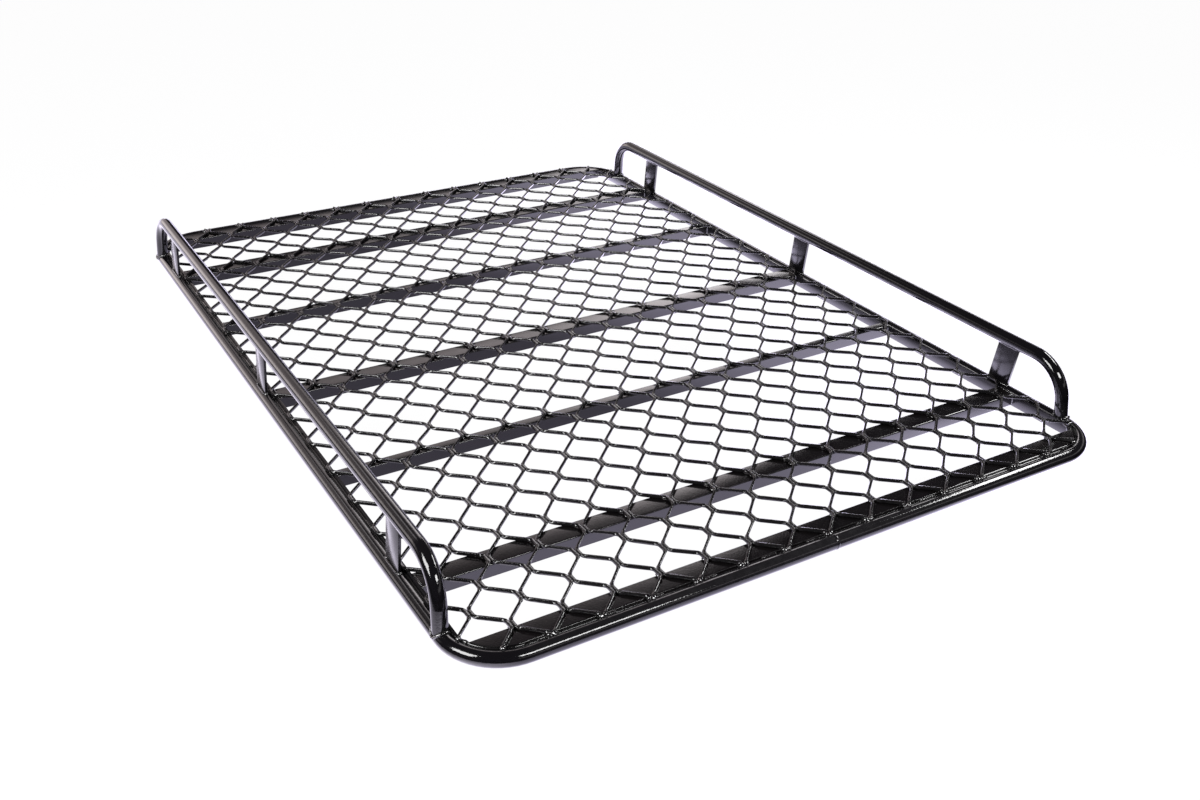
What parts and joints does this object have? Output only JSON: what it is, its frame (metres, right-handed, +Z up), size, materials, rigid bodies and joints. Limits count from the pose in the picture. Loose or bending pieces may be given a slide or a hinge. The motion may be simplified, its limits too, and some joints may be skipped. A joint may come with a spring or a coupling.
{
  "type": "roof cargo basket",
  "caption": "Low rectangular tray of welded tube with box section cross bars, an expanded mesh floor and a raised tube rail on flat posts along each long side, for carrying loads on a roof.",
  "frame": {"origin": "centre of the tray's footprint, on the underside of the ring and the bars", "axes": "+X across the tray towards its right side, +Y along its length from front to rear, +Z up, away from the roof"},
  "size_m": [1.31, 1.8512, 0.136],
  "materials": {
    "coat": "gloss black powder coat over welded steel"
  },
  "bodies": {
    "root": {"ring_left": "coat", "ring_right": "coat", "seam_beads": "coat", "side_strip_left": "coat", "side_strip_right": "coat", "bar_front": "coat", "bar_rear": "coat", "crossbar_1": "coat", "crossbar_2": "coat", "crossbar_3": "coat", "crossbar_4": "coat", "crossbar_5": "coat", "mesh_floor": "coat", "rail_left": "coat", "rail_right": "coat", "post_left_front": "coat", "post_left_middle": "coat", "post_left_rear": "coat", "post_right_front": "coat", "post_right_middle": "coat", "post_right_rear": "coat"}
  },
  "joints": []
}
